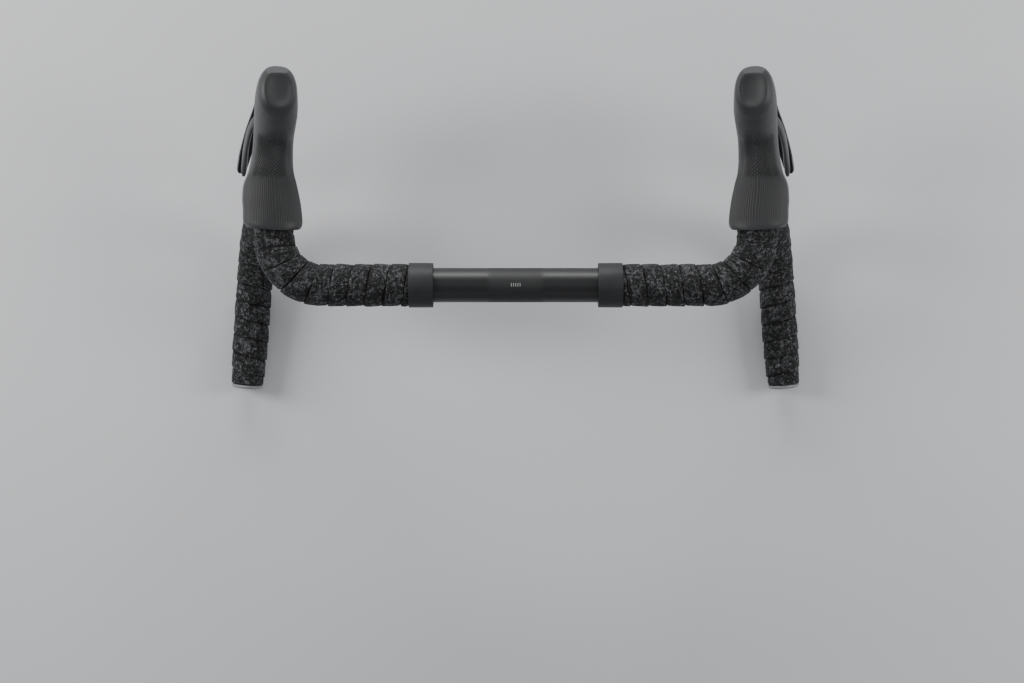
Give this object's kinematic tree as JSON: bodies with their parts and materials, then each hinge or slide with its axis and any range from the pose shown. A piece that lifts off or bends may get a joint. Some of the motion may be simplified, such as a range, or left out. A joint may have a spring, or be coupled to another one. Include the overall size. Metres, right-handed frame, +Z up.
{
  "type": "drop handlebar",
  "caption": "Flared drop handlebar with padded tape, plugged ends and hydraulic brake levers whose blades pull back and swing inward to shift.",
  "frame": {"origin": "centre of the stem clamp zone, on the tube's axis", "axes": "+X to the rider's right along the tops, +Y forward, +Z up"},
  "size_m": [0.5534, 0.2933, 0.2047],
  "materials": {
    "bar": "satin black anodised",
    "tape": "matte padded tape with a mottled dark and mid grey pattern",
    "band": "matte black vinyl band",
    "hood_rubber": "matte moulded rubber with fine ribs",
    "rubber": "matte",
    "plastic": "moulded, satin",
    "cap_plastic": "semi-gloss black",
    "blade": "semi-gloss black over alloy, bright at the worn edge",
    "paddle": "grey satin composite",
    "dark_alloy": "dark bead blasted",
    "alloy": "machined",
    "steel": "machined",
    "brass": "machined"
  },
  "bodies": {
    "root": {"handlebar": "bar", "bar_tape_R": "tape", "finishing_tape_R": "band", "end_plug_R": "plastic", "plug_expander_R": "rubber", "plug_screw_R": "steel", "hood_R": "hood_rubber", "lever_body_R": "plastic", "clamp_band_R": "steel", "clamp_nut_R": "steel", "clamp_bolt_R": "steel", "brake_pin_R": "steel", "return_spring_R": "steel", "piston_spring_R": "steel", "spool_axle_R": "steel", "hose_nut_R": "brass", "reservoir_cover_R": "plastic", "diaphragm_R": "rubber", "bleed_screw_R": "steel", "bar_tape_L": "tape", "finishing_tape_L": "band", "end_plug_L": "plastic", "plug_expander_L": "rubber", "plug_screw_L": "steel", "hood_L": "hood_rubber", "lever_body_L": "plastic", "clamp_band_L": "steel", "clamp_nut_L": "steel", "clamp_bolt_L": "steel", "brake_pin_L": "steel", "return_spring_L": "steel", "piston_spring_L": "steel", "spool_axle_L": "steel", "hose_nut_L": "brass", "reservoir_cover_L": "plastic", "diaphragm_L": "rubber", "bleed_screw_L": "steel"},
    "carrier_R": {"lever_carrier_R": "dark_alloy", "shift_pin_R": "steel", "reach_screw_R": "steel"},
    "blade_R": {"brake_blade_R": "blade", "blade_cap_R": "cap_plastic"},
    "paddle_R": {"release_paddle_R": "paddle"},
    "piston_R": {"piston_R": "alloy", "piston_seal_R": "rubber", "pushrod_R": "steel"},
    "spool_R": {"cable_spool_R": "alloy"},
    "carrier_L": {"lever_carrier_L": "dark_alloy", "shift_pin_L": "steel", "reach_screw_L": "steel"},
    "blade_L": {"brake_blade_L": "blade", "blade_cap_L": "cap_plastic"},
    "paddle_L": {"release_paddle_L": "paddle"},
    "piston_L": {"piston_L": "alloy", "piston_seal_L": "rubber", "pushrod_L": "steel"},
    "spool_L": {"cable_spool_L": "alloy"}
  },
  "joints": [
    {"name": "brake_pull_R", "type": "hinge", "parent": "root", "child": "carrier_R", "pos_m": [0.21898, 0.156, 0.02273], "axis": [-0.9659, 0, -0.2588], "range_deg": [0, 12], "stiffness_Nm_per_rad": 1.2, "springref_deg": -20.05},
    {"name": "shift_swing_R", "type": "hinge", "parent": "carrier_R", "child": "blade_R", "pos_m": [0.22648, 0.164, -0.00528], "axis": [0, 1, 0], "range_deg": [0, 15], "stiffness_Nm_per_rad": 0.6, "springref_deg": -20.05},
    {"name": "release_swing_R", "type": "hinge", "parent": "blade_R", "child": "paddle_R", "pos_m": [0.22648, 0.1596, -0.00528], "axis": [0, 1, 0], "range_deg": [0, 10], "stiffness_Nm_per_rad": 0.12, "springref_deg": -22.92},
    {"name": "piston_slide_R", "type": "slide", "parent": "root", "child": "piston_R", "axis": [0, -1, 0], "range_m": [0, 0.003]},
    {"name": "spool_turn_R", "type": "hinge", "parent": "root", "child": "spool_R", "pos_m": [0.22648, 0.129, -0.00528], "axis": [0, 1, 0], "range_deg": [0, 24.5]},
    {"name": "brake_pull_L", "type": "hinge", "parent": "root", "child": "carrier_L", "pos_m": [-0.21898, 0.156, 0.02273], "axis": [-0.9659, 0, 0.2588], "range_deg": [0, 12], "stiffness_Nm_per_rad": 1.2, "springref_deg": -20.05},
    {"name": "shift_swing_L", "type": "hinge", "parent": "carrier_L", "child": "blade_L", "pos_m": [-0.22648, 0.164, -0.00528], "axis": [0, -1, 0], "range_deg": [0, 15], "stiffness_Nm_per_rad": 0.6, "springref_deg": -20.05},
    {"name": "release_swing_L", "type": "hinge", "parent": "blade_L", "child": "paddle_L", "pos_m": [-0.22648, 0.1596, -0.00528], "axis": [0, -1, 0], "range_deg": [0, 10], "stiffness_Nm_per_rad": 0.12, "springref_deg": -22.92},
    {"name": "piston_slide_L", "type": "slide", "parent": "root", "child": "piston_L", "axis": [0, -1, 0], "range_m": [0, 0.003]},
    {"name": "spool_turn_L", "type": "hinge", "parent": "root", "child": "spool_L", "pos_m": [-0.22648, 0.129, -0.00528], "axis": [0, -1, 0], "range_deg": [0, 24.5]}
  ],
  "couplings": [
    {"joint": "piston_slide_R", "follows": "brake_pull_R", "m_per_rad": 0.014},
    {"joint": "spool_turn_R", "follows": "shift_swing_R", "ratio": 1.6},
    {"joint": "piston_slide_L", "follows": "brake_pull_L", "m_per_rad": 0.014},
    {"joint": "spool_turn_L", "follows": "shift_swing_L", "ratio": 1.6}
  ]
}
